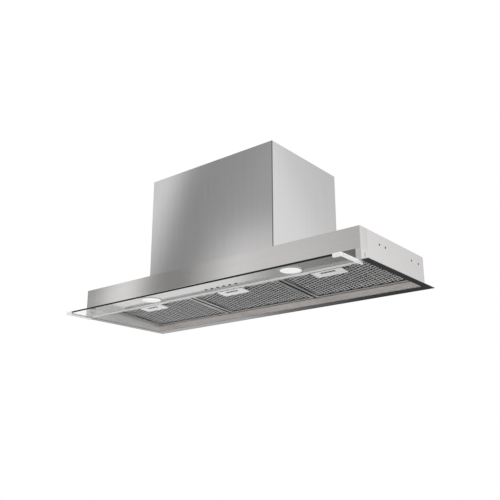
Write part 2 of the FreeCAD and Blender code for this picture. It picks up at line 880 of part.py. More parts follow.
def make_scroll_half(side):
    """One half of the blower scroll, split at the hood's middle."""
    outer_face = Part.Face(volute_wire(0, 0))
    inner_face = Part.Face(volute_wire(0, scroll_wall))
    outer = outer_face.extrude(Vector(scroll_half_width, 0, 0))
    inner = inner_face.extrude(Vector(scroll_half_width - scroll_wall, 0, 0))
    front = wheel_y - scroll_growth / 2 - scroll_first_radius - scroll_growth * 2
    back = wheel_y + scroll_outlet_back
    rim = box(0, scroll_half_width + scroll_rim, front - scroll_rim, back + scroll_rim,
              outlet_top - scroll_wall, outlet_top)
    half = join([outer, rim]).cut(inner)
    mouth = box(-overrun, scroll_half_width - scroll_wall, front + scroll_wall, back - scroll_wall,
                outlet_top - scroll_wall * 2, outlet_top + overrun)
    half = half.cut(mouth)
    inlet = roller(scroll_inlet_radius, scroll_half_width - scroll_wall * 2, scroll_half_width + overrun,
                   wheel_y, wheel_z)
    half = half.cut(inlet)
    half = drill(half, outlet_screw_places(), outlet_top - scroll_wall, outlet_top)
    return half if side > 0 else mirrored(half)


def ring_x(outer, inner, x0, x1):
    """A ring around the fan's axis."""
    ring = roller(outer, x0, x1, wheel_y, wheel_z)
    return ring.cut(roller(inner, x0 - overrun, x1 + overrun, wheel_y, wheel_z))


def make_impeller():
    """Double-inlet wheel: middle disc, blades, end rings and hub."""
    disc = roller(wheel_radius, -wheel_disc_thick / 2, wheel_disc_thick / 2, wheel_y, wheel_z)
    hub = roller(hub_radius, -hub_half_width, hub_half_width, wheel_y, wheel_z)
    ring_inner = wheel_radius - blade_chord * math.cos(math.radians(blade_angle))
    pieces = [disc, hub]
    for side in (-1, 1):
        low, high = sorted((side * (wheel_half_width - wheel_ring_thick), side * wheel_half_width))
        pieces.append(ring_x(wheel_radius, ring_inner, low, high))
    middle = (ring_inner + wheel_radius) / 2
    for k in range(blade_count):
        blade = Part.makeBox(wheel_half_width * 2 - wheel_ring_thick, blade_thick, blade_chord - blade_thick,
                             Vector(-wheel_half_width + wheel_ring_thick / 2, -blade_thick / 2,
                                    (blade_thick - blade_chord) / 2))
        blade.rotate(Vector(0, 0, 0), ACROSS, blade_angle)
        blade.translate(Vector(0, 0, middle))
        blade.rotate(Vector(0, 0, 0), ACROSS, 360 * k / blade_count)
        blade.translate(Vector(0, wheel_y, wheel_z))
        pieces.append(blade)
    wheel = join(pieces)
    return wheel.cut(roller(shaft_radius, -hub_half_width - overrun, hub_half_width + overrun, wheel_y, wheel_z))


def motor_ends():
    """X of the motor's two end faces."""
    return -scroll_half_width, -hub_half_width - motor_end_gap - motor_shoulder_length


def make_motor():
    """Motor can with a shoulder round its bearing and a flange at its outer end."""
    left, right = motor_ends()
    can = roller(motor_radius, left, right, wheel_y, wheel_z)
    shoulder = roller(motor_shoulder_radius, right, right + motor_shoulder_length, wheel_y, wheel_z)
    face = -scroll_half_width - bracket_thick
    flange = roller(motor_flange_radius, face - motor_flange_thick, face, wheel_y, wheel_z)
    tail = roller(motor_radius, face, left, wheel_y, wheel_z)
    body = join([can, shoulder, flange, tail])
    bore = roller(shaft_radius + shaft_gap, left, right + motor_shoulder_length + overrun, wheel_y, wheel_z)
    body = body.cut(bore)
    return drill_motor(body)


def motor_screw_places():
    """Y and Z of the motor's three screws."""
    radius = (motor_radius + motor_flange_radius) / 2 + seat_gap
    angles = [math.radians(360 * k / bracket_arm_count) for k in range(bracket_arm_count)]
    return [(wheel_y + radius * math.sin(a), wheel_z + radius * math.cos(a)) for a in angles]


def drill_motor(shape):
    """Holes for the motor's screws."""
    low = -scroll_half_width - bracket_thick - motor_flange_thick - overrun
    high = -scroll_half_width + overrun
    for y, z in motor_screw_places():
        shape = shape.cut(roller(screw_radius + screw_clearance, low, high, y, z))
    return shape


def make_motor_shaft():
    """Shaft from inside the motor to the far end of the hub."""
    left, right = motor_ends()
    return roller(shaft_radius, left + seat_gap, hub_half_width, wheel_y, wheel_z)


def make_motor_bracket():
    """Three-armed bracket across the left inlet."""
    low = -scroll_half_width - bracket_thick
    high = -scroll_half_width
    rim = ring_x(scroll_inlet_radius + bracket_rim_width, scroll_inlet_radius - sheet, low, high)
    eye = ring_x(motor_flange_radius, motor_radius + seat_gap, low, high)
    pieces = [rim, eye]
    for k in range(bracket_arm_count):
        arm = box(low, high, -bracket_arm_width / 2, bracket_arm_width / 2,
                  motor_flange_radius - bracket_thick, scroll_inlet_radius + bracket_thick)
        arm.rotate(Vector(0, 0, 0), ACROSS, 360 * k / bracket_arm_count)
        arm.translate(Vector(0, wheel_y, wheel_z))
        pieces.append(arm)
    return drill_motor(join(pieces))


def make_inlet_ring():
    """Rounded ring on the right inlet."""
    low = scroll_half_width
    high = scroll_half_width + bracket_thick
    rim = ring_x(scroll_inlet_radius + bracket_rim_width, scroll_inlet_radius - bracket_thick, low, high)
    throat = ring_x(scroll_inlet_radius - seat_gap, scroll_inlet_radius - bracket_thick, low - inlet_ring_lip, high)
    return join([rim, throat])


def make_motor_screws():
    """Screws that hold the motor to its bracket."""
    face = -scroll_half_width - bracket_thick - motor_flange_thick
    screws = []
    for y, z in motor_screw_places():
        head = roller(screw_head_radius, face - screw_head_height, face, y, z)
        shank = roller(screw_radius, face, face + motor_screw_length, y, z)
        screws.append(join([head, shank]))
    return Part.makeCompound(screws)


def sheet_screw(x, y, seat):
    """Pan-head screw whose head sits on a level face."""
    head = pillar(screw_head_radius, x, y, seat, seat + screw_head_height)
    head = head.makeFillet(screw_head_height / 2, [e for e in head.Edges if e.BoundBox.ZMin > seat])
    shank = pillar(screw_radius, x, y, seat - screw_length, seat)
    return join([head, shank])


def make_sheet_screws():
    """Screws of the roof flanges, the top plate and the collar."""
    screws = [sheet_screw(x, y, roof_z + sheet) for x, y in roof_screw_places()]
    screws += [sheet_screw(x, y, housing_top) for x, y in top_screw_places()]
    screws += [sheet_screw(x, y, housing_top + collar_flange_thick) for x, y in outlet_screw_places()]
    return Part.makeCompound(screws)


def make_capacitor():
    """Motor capacitor, held by its stud on the housing's right wall."""
    wall = housing_half - sheet
    z = roof_z + capacitor_height_at
    y = housing_front + housing_flange * 4
    can = roller(capacitor_radius, wall - capacitor_stud - capacitor_length, wall - capacitor_stud, y, z)
    can = can.makeFillet(sheet, [e for e in can.Edges if e.BoundBox.XLength < sheet])
    stud = roller(capacitor_stud_radius, wall - capacitor_stud, wall, y, z)
    return join([can, stud])


def terminal_box_place():
    """Lowest corner of the terminal box, on the housing's left wall."""
    x = -housing_half + sheet
    y = wall_y - sheet - terminal_box_depth
    return x, y, roof_z + sheet + terminal_box_lift


def make_terminal_box():
    """Open-topped box for the mains terminals."""
    x, y, z = terminal_box_place()
    wall = terminal_box_wall
    body = box(x, x + terminal_box_width, y, y + terminal_box_depth, z, z + terminal_box_height)
    return body.cut(box(x + wall, x + terminal_box_width - wall, y + wall, y + terminal_box_depth - wall,
                        z + wall, z + terminal_box_height + overrun))


def make_terminal_block():
    """Terminal block on the floor of its box."""
    x, y, z = terminal_box_place()
    x0 = x + (terminal_box_width - terminal_block_width) / 2
    y0 = y + (terminal_box_depth - terminal_block_depth) / 2
    z0 = z + terminal_box_wall
    block = box(x0, x0 + terminal_block_width, y0, y0 + terminal_block_depth, z0, z0 + terminal_block_height)
    pitch = terminal_block_depth / terminal_ways
    for k in range(terminal_ways):
        way_y = y0 + pitch * (k + 1 / 2)
        block = block.cut(pillar(terminal_way_radius, x0 + terminal_block_width / 2, way_y,
                                 z0 + terminal_block_height / 2, z0 + terminal_block_height + overrun))
    return block


def hexagon(radius, x, y, z0, z1):
    """An upright hexagonal nut blank."""
    points = [Vector(x + radius * math.cos(math.radians(60 * k)), y + radius * math.sin(math.radians(60 * k)), z0)
              for k in range(7)]
    return Part.Face(Part.makePolygon(points)).extrude(Vector(0, 0, z1 - z0))


def make_cable_gland():
    """Cable gland through the top plate, with a bare bore for the mains lead."""
    x, y, top = gland_side_at, wall_y - gland_rear_at, housing_top
    body = pillar(gland_radius, x, y, top - gland_below, top + gland_height - gland_below)
    nut = hexagon(gland_nut_radius, x, y, top, top + gland_nut_height)
    lower = hexagon(gland_nut_radius, x, y, top - sheet - gland_nut_height / 2, top - sheet)
    cap = pillar(gland_radius + sheet, x, y, top + gland_nut_height, top + gland_height - gland_below - sheet)
    gland = join([body, nut, lower, cap])
    return gland.cut(pillar(gland_bore_radius, x, y, top - gland_below - overrun, top + gland_height + overrun))


def build():
    """Make every node."""
    os.makedirs("parts", exist_ok=True)
    save("canopy_shell", make_canopy_shell())
    save("front_panel", make_front_panel())
    save("mounting_flange", make_mounting_flange())
    save_pair("corner_post", make_corner_post())
    save("control_strip", make_control_strip())
    save("filter_front_rail", make_front_rail())
    save("filter_rear_rail", make_rear_rail())
    for name, x in zip(("left", "right"), lamp_places()):
        save("lamp_bezel_" + name, make_lamp_bezel(x))
        save("lamp_lens_" + name, make_lamp_lens(x))
        save("lamp_case_" + name, make_lamp_case(x))
    for number, x in enumerate(button_places(), 1):
        save("button_%d" % number, make_button(x))
    save("push_switches", make_switches())
    save("control_board", make_control_board())
    save("switch_box", make_switch_box())
    save("led_driver", make_led_driver())
    for number, x in enumerate(filter_places(), 1):
        save("filter_frame_%d" % number, make_filter_frame(x))
        save("filter_mesh_%d" % number, make_filter_mesh(x))
        save("filter_latch_%d" % number, make_filter_latch(x))
    save_pair("visor_arm", make_visor_arm())
    save_pair("visor_corner", make_visor_corner())
    save_pair("visor_guide", make_visor_guide())
    save("visor_glass", make_visor_glass())
    save("housing_wrap", make_housing_wrap())
    save("housing_rear", make_housing_rear())
    save("housing_top", make_housing_top())
    save("duct_collar", make_duct_collar())
    save("flap_axle", make_flap_axle())
    save("flap_left", make_flap(-1))
    save("flap_right", make_flap(1))
    save("scroll_left", make_scroll_half(-1))
    save("scroll_right", make_scroll_half(1))
    save("impeller", make_impeller())
    save("motor", make_motor())
    save("motor_shaft", make_motor_shaft())
    save("motor_bracket", make_motor_bracket())
    save("inlet_ring", make_inlet_ring())
    save("motor_screws", make_motor_screws())
    save("sheet_screws", make_sheet_screws())
    save("capacitor", make_capacitor())
    save("terminal_box", make_terminal_box())
    save("terminal_block", make_terminal_block())
    save("cable_gland", make_cable_gland())


build()
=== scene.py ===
"""Looks of the built-in cooker hood: finishes, fine filter mesh, ground glass, stage and light."""

import json
import math

import bpy
from mathutils import Matrix, Vector


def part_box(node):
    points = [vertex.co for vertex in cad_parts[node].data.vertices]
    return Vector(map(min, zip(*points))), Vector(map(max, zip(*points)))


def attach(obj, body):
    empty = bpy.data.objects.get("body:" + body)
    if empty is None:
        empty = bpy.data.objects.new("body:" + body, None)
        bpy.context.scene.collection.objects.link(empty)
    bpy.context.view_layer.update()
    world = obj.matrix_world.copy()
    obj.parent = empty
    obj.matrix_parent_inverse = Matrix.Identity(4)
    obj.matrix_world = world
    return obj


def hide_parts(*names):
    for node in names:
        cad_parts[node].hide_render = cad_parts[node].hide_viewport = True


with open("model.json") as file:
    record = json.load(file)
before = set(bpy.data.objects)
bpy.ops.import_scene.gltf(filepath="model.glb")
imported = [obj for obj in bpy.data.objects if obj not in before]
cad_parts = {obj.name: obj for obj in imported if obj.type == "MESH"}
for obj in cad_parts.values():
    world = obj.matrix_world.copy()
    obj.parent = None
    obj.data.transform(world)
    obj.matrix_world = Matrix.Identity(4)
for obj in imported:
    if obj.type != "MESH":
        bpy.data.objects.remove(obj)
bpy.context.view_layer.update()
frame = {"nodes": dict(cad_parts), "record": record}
nodes = frame["nodes"]
slots = {row["node"]: row["material_slot"] for row in frame["record"]["subparts"]}
body_of = {
    node: body
    for body, held in frame["record"]["behaviour"]["bodies"].items()
    for node in held
}

MM = 0.001
MICRON = 0.000001
AT_ORIGIN = (0.0, 0.0, 0.0)

FILTER_TILT = math.radians(4.4)
FILTER_NUMBERS = (1, 2, 3)
SIDES = ("left", "right")
BUTTON_NUMBERS = (1, 2, 3, 4, 5, 6)


# Shader fields


class Field:
    """A shader socket that can stand in sums and products."""

    def __init__(self, finish, socket):
        self.finish = finish
        self.socket = socket

    def math(self, kind, first, second):
        """Two values or fields put through one arithmetic node."""
        return self.finish.node("ShaderNodeMath", {"operation": kind}, {0: first, 1: second})

    def __add__(self, other):
        return self.math("ADD", self, other)

    def __radd__(self, other):
        return self.math("ADD", other, self)

    def __sub__(self, other):
        return self.math("SUBTRACT", self, other)

    def __mul__(self, other):
        return self.math("MULTIPLY", self, other)

    def at_least(self, other):
        return self.math("MAXIMUM", self, other)


# The Mix node shares socket names among its data types, so its colours go by number
MIX_DARK, MIX_LIGHT, MIX_RESULT = 6, 7, 2


class Finish:
    """A material under construction, with its Principled shader and its object coordinates."""

    def __init__(self, name, metallic, ior=1.5):
        self.material = bpy.data.materials.new(name)
        self.material.use_nodes = True
        self.tree = self.material.node_tree
        self.shader = self.tree.nodes["Principled BSDF"]
        self.shader.inputs["Metallic"].default_value = metallic
        self.shader.inputs["IOR"].default_value = ior
        self.place = self.node("ShaderNodeTexCoord", {}, {}, "Object")

    def node(self, kind, settings, sockets, output=0):
        """A new node with its settings and its sockets fed; gives one of its outputs."""
        made = self.tree.nodes.new(kind)
        for name, value in settings.items():
            if name == "stops":
                ramp = made.color_ramp
                while len(ramp.elements) < len(value):
                    ramp.elements.new(1.0)
                for element, (position, colour) in zip(ramp.elements, value):
                    element.position = position
                    element.color = colour
            else:
                setattr(made, name, value)
        for name, value in sockets.items():
            if isinstance(value, Field):
                self.tree.links.new(value.socket, made.inputs[name])
            else:
                made.inputs[name].default_value = value
        return Field(self, made.outputs[output])

    def stretched(self, per_metre):
        """Object coordinates scaled to so many repeats to the metre along X, Y and Z."""
        return self.node("ShaderNodeMapping", {}, {"Vector": self.place, "Scale": per_metre})

    def noise(self, per_metre, detail=2.0, roughness=0.5):
        return self.node(
            "ShaderNodeTexNoise", {},
            {
                "Vector": self.stretched(per_metre), "Scale": 1.0,
                "Detail": detail, "Roughness": roughness,
            },
        )

    def cells(self, per_metre):
        sockets = {"Vector": self.stretched(per_metre), "Scale": 1.0}
        return self.node("ShaderNodeTexVoronoi", {}, sockets, "Distance")

    def blend(self, share, dark, light):
        """A colour between two, by a share from 0 to 1."""
        sockets = {"Factor": share, MIX_DARK: dark, MIX_LIGHT: light}
        return self.node("ShaderNodeMix", {"data_type": "RGBA"}, sockets, MIX_RESULT)

    def feed(self, name, value):
        """Sets one socket of the shader to a value or to a field."""
        if isinstance(value, Field):
            self.tree.links.new(value.socket, self.shader.inputs[name])
        else:
            self.shader.inputs[name].default_value = value

    def mottle(self, share, colour, darkest, lightest):
        """A base colour that varies between two multiples of one colour."""
        dark, light = scaled(colour, darkest), scaled(colour, lightest)
        self.feed("Base Color", self.blend(share, dark, light))

    def relief(self, height, depth):
        """A bump of so many metres from a height of 0 to 1."""
        sockets = {"Height": height, "Distance": depth, "Strength": 1.0}
        self.feed("Normal", self.node("ShaderNodeBump", {}, sockets))


def scaled(colour, by):
    """A colour made lighter or darker, with its alpha."""
    return (colour[0] * by, colour[1] * by, colour[2] * by, 1.0)


# Finishes


def even(per_metre):
    """The same number of repeats to the metre along all three axes."""
    return (per_metre, per_metre, per_metre)


def brushed_sheet(name, colour, grain_axis, roughness, contrast=0.08, relief=6 * MICRON):
    """Brushed steel sheet: long fine scratches along one axis, broad faint streaks over them."""
    finish = Finish(name, 1.0)
    fine = list(even(1400.0))
    broad = list(even(170.0))
    fine[grain_axis] = 9.0
    broad[grain_axis] = 2.5
    scratches = finish.noise(fine, detail=3.0, roughness=0.65)
    streaks = finish.noise(broad)
    clouds = finish.noise(even(5.0))
    shade = scratches * 0.45 + streaks * 0.35 + clouds * 0.20
    finish.mottle(shade, colour, 1.0 - contrast, 1.0 + contrast)
    finish.feed("Roughness", roughness - 0.09 + scratches * 0.12 + clouds * 0.06)
    finish.relief(scratches * 0.7 + streaks * 0.3, relief)
    return finish.material


def rolled_sheet(name, colour, roughness, contrast=0.08, spangle=0.0, metallic=1.0):
    """Plain rolled or zinc-coated sheet: cloudy, with faint spangle where it is zinc."""
    finish = Finish(name, metallic)
    clouds = finish.noise(even(22.0), detail=4.0, roughness=0.6)
    rolling = finish.noise((6.0, 300.0, 300.0))
    shade = clouds * 0.6 + rolling * 0.4
    if spangle:
        shade = shade * (1.0 - spangle) + finish.cells(even(160.0)) * spangle
    finish.mottle(shade, colour, 1.0 - contrast, 1.0 + contrast)
    finish.feed("Roughness", roughness - 0.06 + clouds * 0.12)
    finish.relief(rolling * 0.5 + clouds * 0.5, 15 * MICRON)
    return finish.material


def bright_metal(name, colour, roughness, metallic=1.0):
    """Plated or polished metal with faint handling marks."""
    finish = Finish(name, metallic)
    marks = finish.noise(even(240.0), detail=3.0)
    finish.mottle(marks, colour, 0.95, 1.05)
    finish.feed("Roughness", roughness - 0.03 + marks * 0.06)
    finish.relief(marks, 6 * MICRON)
    return finish.material


def cast_metal(name, colour, roughness=0.45):
    """Die-cast metal: pebbled skin."""
    finish = Finish(name, 1.0)
    pebbles = finish.noise(even(900.0), detail=3.0)
    finish.mottle(pebbles, colour, 0.86, 1.10)
    finish.feed("Roughness", roughness - 0.08 + pebbles * 0.16)
    finish.relief(pebbles, 60 * MICRON)
    return finish.material


def moulded(name, colour, roughness, pebble=20 * MICRON):
    """Moulded plastic: fine grained skin with a slow change of tone."""
    finish = Finish(name, 0.0, 1.49)
    grain = finish.noise(even(2600.0))
    clouds = finish.noise(even(30.0))
    shade = grain * 0.4 + clouds * 0.6
    finish.mottle(shade, colour, 0.92, 1.08)
    finish.feed("Roughness", roughness - 0.06 + clouds * 0.06 + grain * 0.06)
    finish.relief(grain, pebble)
    return finish.material


def painted(name, colour, roughness=0.35):
    """Stoved paint with a slight orange peel."""
    finish = Finish(name, 0.0, 1.5)
    peel = finish.noise(even(420.0))
    clouds = finish.noise(even(18.0))
    finish.mottle(clouds, colour, 0.90, 1.10)
    finish.feed("Roughness", roughness - 0.04 + peel * 0.08)
    finish.relief(peel, 40 * MICRON)
    return finish.material


def coated_board():
    """Circuit board: dark tracks under a green coat."""
    finish = Finish("board_green", 0.0, 1.5)
    tracks = finish.node(
        "ShaderNodeTexWave", {"wave_type": "BANDS", "bands_direction": "DIAGONAL"},
        {
            "Vector": finish.stretched(even(260.0)), "Scale": 1.0,
            "Distortion": 6.0, "Detail": 1.0,
        },
    )
    dark, light = (0.012, 0.085, 0.035, 1.0), (0.03, 0.20, 0.09, 1.0)
    finish.feed("Base Color", finish.blend(tracks, dark, light))
    finish.feed("Roughness", 0.22 + tracks * 0.08)
    finish.relief(tracks, 30 * MICRON)
    return finish.material


def clear_glass():
    """Thin clear glass of the visor's pane: a trace of green, a little dust and a sharp gloss."""
    finish = Finish("visor_glass", 0.0, 1.5)
    dust = finish.noise(even(60.0), detail=3.0)
    dark, light = (0.36, 0.38, 0.37, 1.0), (0.42, 0.44, 0.43, 1.0)
    finish.feed("Base Color", finish.blend(dust, dark, light))
    finish.feed("Roughness", 0.02 + dust * 0.04)
    finish.feed("Alpha", 0.05 + dust * 0.03)
    return finish.material


def ground_edge(name, dark, light):
    """A ground edge of the pane, between two tones."""
    finish = Finish(name, 0.0, 1.5)
    grind = finish.noise((500.0, 500.0, 2000.0), detail=3.0)
    finish.feed("Base Color", finish.blend(grind, dark, light))
    finish.feed("Roughness", 0.55 + grind * 0.2)
    finish.feed("Specular IOR Level", 0.15)
    finish.relief(grind, 20 * MICRON)
    return finish.material


def frosted_lens():
    """The lamps' opal lens, softly pebbled."""
    finish = Finish("lamp_lens", 0.0, 1.49)
    pebbles = finish.cells(even(900.0))
    dark, light = (0.86, 0.86, 0.84, 1.0), (0.93, 0.93, 0.92, 1.0)
    finish.feed("Base Color", finish.blend(pebbles, dark, light))
    finish.feed("Roughness", 0.30 + pebbles * 0.15)
    finish.feed("Emission Color", (1.0, 0.99, 0.96, 1.0))
    finish.feed("Emission Strength", 0.16)
    finish.relief(pebbles, 60 * MICRON)
    return finish.material


ALONG_WIDTH, ALONG_DEPTH, ALONG_HEIGHT = 0, 1, 2

finish_of = {
    "panel_steel": brushed_sheet("panel_steel", (0.62, 0.61, 0.60), ALONG_WIDTH, 0.105),
    "canopy_steel": brushed_sheet(
        "canopy_steel", (0.70, 0.68, 0.68), ALONG_DEPTH, 0.22, contrast=0.03, relief=2 * MICRON
    ),
    "flange_steel": brushed_sheet("flange_steel", (0.50, 0.50, 0.49), ALONG_WIDTH, 0.13),
    "strip_steel": brushed_sheet("strip_steel", (0.66, 0.66, 0.65), ALONG_WIDTH, 0.13),
    "housing_steel": brushed_sheet("housing_steel", (0.62, 0.61, 0.61), ALONG_HEIGHT, 0.12),
    "rail_steel": rolled_sheet(
        "rail_steel", (0.95, 0.905, 0.875), 0.38, contrast=0.05, spangle=0.10
    ),
    "filter_frame_metal": rolled_sheet("filter_frame_metal", (0.42, 0.42, 0.415), 0.30),
    "filter_mesh_metal": rolled_sheet("filter_mesh_metal", (0.81, 0.81, 0.81), 0.38),
    "latch_metal": bright_metal("latch_metal", (0.88, 0.88, 0.87), 0.45, metallic=0.5),
    "visor_glass": clear_glass(),
    "visor_trim": moulded("visor_trim", (0.80, 0.80, 0.79), 0.42),
    "guide_plastic": moulded("guide_plastic", (0.80, 0.80, 0.79), 0.45),
    "button_black": moulded("button_black", (0.035, 0.035, 0.036), 0.35),
    "bezel_metal": bright_metal("bezel_metal", (0.66, 0.66, 0.66), 0.16),
    "lamp_lens": frosted_lens(),
    "lamp_case": cast_metal("lamp_case", (0.58, 0.58, 0.58)),
    "collar_plastic": moulded("collar_plastic", (0.035, 0.035, 0.037), 0.45),
    "flap_plastic": moulded("flap_plastic", (0.06, 0.06, 0.06), 0.5),
    "axle_steel": bright_metal("axle_steel", (0.58, 0.58, 0.57), 0.22),
    "gland_plastic": moulded("gland_plastic", (0.04, 0.04, 0.042), 0.42),
    "scroll_plastic": moulded("scroll_plastic", (0.09, 0.09, 0.095), 0.5, pebble=40 * MICRON),
    "wheel_plastic": moulded("wheel_plastic", (0.07, 0.07, 0.072), 0.5, pebble=40 * MICRON),
    "motor_steel": painted("motor_steel", (0.20, 0.21, 0.22)),
    "bracket_steel": rolled_sheet(
        "bracket_steel", (0.60, 0.60, 0.57), 0.36, contrast=0.10, spangle=0.3
    ),
    "screw_steel": bright_metal("screw_steel", (0.55, 0.55, 0.54), 0.28),
    "capacitor_plastic": moulded("capacitor_plastic", (0.66, 0.66, 0.64), 0.38),
    "box_plastic": moulded("box_plastic", (0.14, 0.14, 0.145), 0.5),
    "block_plastic": moulded("block_plastic", (0.72, 0.69, 0.58), 0.42),
    "driver_plastic": moulded("driver_plastic", (0.78, 0.78, 0.77), 0.45),
    "switch_box_plastic": moulded("switch_box_plastic", (0.06, 0.06, 0.062), 0.5),
    "board_green": coated_board(),
    "switch_body": moulded("switch_body", (0.04, 0.04, 0.04), 0.4),
}

# Finishes of one layer or of some faces only: painted light on the canopy's inner face, and
# painted shade on all the others except the pane's pale rear edge
# The filter's core layer is nearly black: painted shade inside the filter.
core_painted_shade = rolled_sheet("filter_core_painted_shade", (0.012, 0.012, 0.012), 0.5)
# The pane's front edge is nearly black: painted shade. The rear edges keep the pale ground tone.
front_edge_painted_shade = ground_edge("front_edge_painted_shade", (0.004, 0.005, 0.005, 1.0), (0.014, 0.016, 0.015, 1.0))
rear_edge = ground_edge("rear_edge", (0.55, 0.56, 0.555, 1.0), (0.68, 0.69, 0.685, 1.0))
# The flange's underside is its own brushed steel made darker: painted shade.
flange_underside_painted_shade = brushed_sheet("flange_underside_painted_shade", (0.15, 0.15, 0.147), ALONG_WIDTH, 0.13)
# The canopy's inner faces are paler and half diffuse, standing in for light reflected from below:
# painted light.
canopy_inside_painted_light = rolled_sheet(
    "canopy_inside_painted_light", (0.92, 0.91, 0.90), 0.35, contrast=0.06, metallic=0.5
)
# Nearly black faces inside the canopy's screw holes: painted shade.
hole_shade = moulded("hole_shade", (0.03, 0.03, 0.03), 0.7)
# A darker copy of the housing's steel for its rounded front folds: painted shade.
housing_fold_painted_shade = brushed_sheet("housing_fold_painted_shade", (0.16, 0.16, 0.16), ALONG_HEIGHT, 0.35)

for node, thing in nodes.items():
    thing.data.materials.clear()
    thing.data.materials.append(finish_of[slots[node]])


# Modelling

MERGE_REACH = 2 * MICRON
FLAT_ANGLE = math.radians(0.4)
SHARP_ANGLE = math.radians(40.0)
SMOOTH_ANGLE = math.radians(42.0)
FLAT_FACE_WEIGHT = 100
EASE_SEGMENTS = 2
FOLD_SEGMENTS = 3
LEVEL_FACE = 0.5


def select_nothing():
    """Leaves nothing selected."""
    bpy.ops.object.select_all(action="DESELECT")


def only(piece):
    """Leaves nothing selected but this piece, and makes it the active one."""
    select_nothing()
    piece.select_set(True)
    bpy.context.view_layer.objects.active = piece


def finished(piece, name, node, finish):
    """Names a new piece, sets it on its node's body and lets it stand for the node."""
    piece.name = name
    piece.data.name = name
    only(piece)
    bpy.ops.object.transform_apply(location=True, rotation=True, scale=True)
    piece.data.materials.clear()
    piece.data.materials.append(finish)
    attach(piece, body_of[node])
    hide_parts(node)
    return piece


def copied(node):
    """A merged copy of a CAD piece, with its flat faces joined up again."""
    piece = bpy.data.objects.new(node + "_copy", nodes[node].data.copy())
    bpy.context.scene.collection.objects.link(piece)
    only(piece)
    bpy.ops.object.mode_set(mode="EDIT")
    bpy.ops.mesh.select_all(action="SELECT")
    bpy.ops.mesh.customdata_custom_splitnormals_clear()
    bpy.ops.mesh.remove_doubles(threshold=MERGE_REACH)
    bpy.ops.mesh.dissolve_limited(angle_limit=FLAT_ANGLE)
    bpy.ops.object.mode_set(mode="OBJECT")
    return piece


def round_off(piece):
    """Applies a piece's bevel and shades it smooth, with its large faces kept flat."""
    only(piece)
    bpy.ops.object.modifier_apply(modifier="ease")
    bpy.ops.object.shade_smooth_by_angle(angle=SMOOTH_ANGLE)
    keep = piece.modifiers.new("keep_flat", "WEIGHTED_NORMAL")
    keep.keep_sharp = True
    keep.weight = FLAT_FACE_WEIGHT
    bpy.ops.object.modifier_apply(modifier="keep_flat")


def eased(node, width):
    """A CAD piece again, with every sharp edge rounded a little."""
    piece = copied(node)
    ease = piece.modifiers.new("ease", "BEVEL")
    ease.width = width
    ease.segments = EASE_SEGMENTS
    ease.limit_method = "ANGLE"
    ease.angle_limit = SHARP_ANGLE
    ease.use_clamp_overlap = True
    round_off(piece)
    finished(piece, node + "_eased", node, finish_of[slots[node]])


# Pieces whose edges are rounded, with the width in millimetres
EASED = (
    ("visor_corner_%s", SIDES, 0.8),
    ("visor_arm_%s", SIDES, 0.5),
    ("visor_guide_%s", SIDES, 0.4),
    ("lamp_bezel_%s", SIDES, 0.4),
    ("lamp_lens_%s", SIDES, 0.4),
    ("scroll_%s", SIDES, 0.8),
    ("filter_frame_%s", FILTER_NUMBERS, 0.4),
    ("filter_latch_%s", FILTER_NUMBERS, 0.25),
    ("button_%s", BUTTON_NUMBERS, 0.4),
    ("%s", ("duct_collar",), 0.5),
    ("%s", ("cable_gland",), 0.4),
    ("%s", ("motor", "capacitor", "terminal_box"), 0.8),
    ("%s", ("terminal_block",), 0.4),
    ("%s", ("led_driver",), 0.8),
    ("%s", ("switch_box",), 0.6),
)


# Fine filter mesh

LATTICE_LONG = 19.2 * MM
LATTICE_SHORT = 11.9 * MM
LATTICE_LAY = math.radians(53.0)
LATTICE_SPARE = 24
CELL_TURN = math.radians(45.0)
STRAND_HALF = 1.0 * MM
STRAND_DROP = 0.8 * MM
STRAND_THICK = 0.4 * MM
LAYER_INSET = 0.8 * MM
CORE_LEVEL_SHARE = 0.25
CORE_SCALE = 0.71
CORE_STRAND_HALF = 0.8 * MM


def lattice_sheet(width, depth, long, short, strand):
    """A flat sheet of expanded metal about the origin: skewed diamonds with sloping strands."""
    count = 2 * int(math.hypot(width, depth) / math.hypot(long, short)) + LATTICE_SPARE
    select_nothing()
    bpy.ops.mesh.primitive_grid_add(
        x_subdivisions=count, y_subdivisions=count, size=1.0, location=AT_ORIGIN
    )
    sheet = bpy.context.object
    only(sheet)
    bpy.ops.object.mode_set(mode="EDIT")
    bpy.ops.mesh.select_all(action="SELECT")
    bpy.ops.transform.rotate(value=CELL_TURN, orient_axis="Z", center_override=AT_ORIGIN)
    diagonal = math.sqrt(2.0) / count
    bpy.ops.transform.resize(
        value=(long / diagonal, short / diagonal, 1.0), center_override=AT_ORIGIN
    )
    bpy.ops.transform.rotate(value=LATTICE_LAY, orient_axis="Z", center_override=AT_ORIGIN)
    for axis, extent in ((0, width), (1, depth)):
        for sign in (1.0, -1.0):
            normal = [0.0, 0.0, 0.0]
            normal[axis] = sign
            edge = [part * extent / 2 for part in normal]
            bpy.ops.mesh.select_all(action="SELECT")
            bpy.ops.mesh.bisect(plane_co=edge, plane_no=normal, clear_outer=True)
    bpy.ops.mesh.select_all(action="SELECT")
    bpy.ops.mesh.inset(
        thickness=strand, depth=STRAND_DROP, use_individual=True, use_boundary=True
    )
    bpy.ops.mesh.delete(type="FACE")
    bpy.ops.object.mode_set(mode="OBJECT")
    wall = sheet.modifiers.new("wall", "SOLIDIFY")
    wall.thickness = STRAND_THICK
    wall.offset = 0.0
    bpy.ops.object.modifier_apply(modifier="wall")
    return sheet


def joined(sheets):
    """Several sheets as one piece."""
    select_nothing()
    for sheet in sheets:
        sheet.select_set(True)
    bpy.context.view_layer.objects.active = sheets[0]
    bpy.ops.object.join()
    return sheets[0]


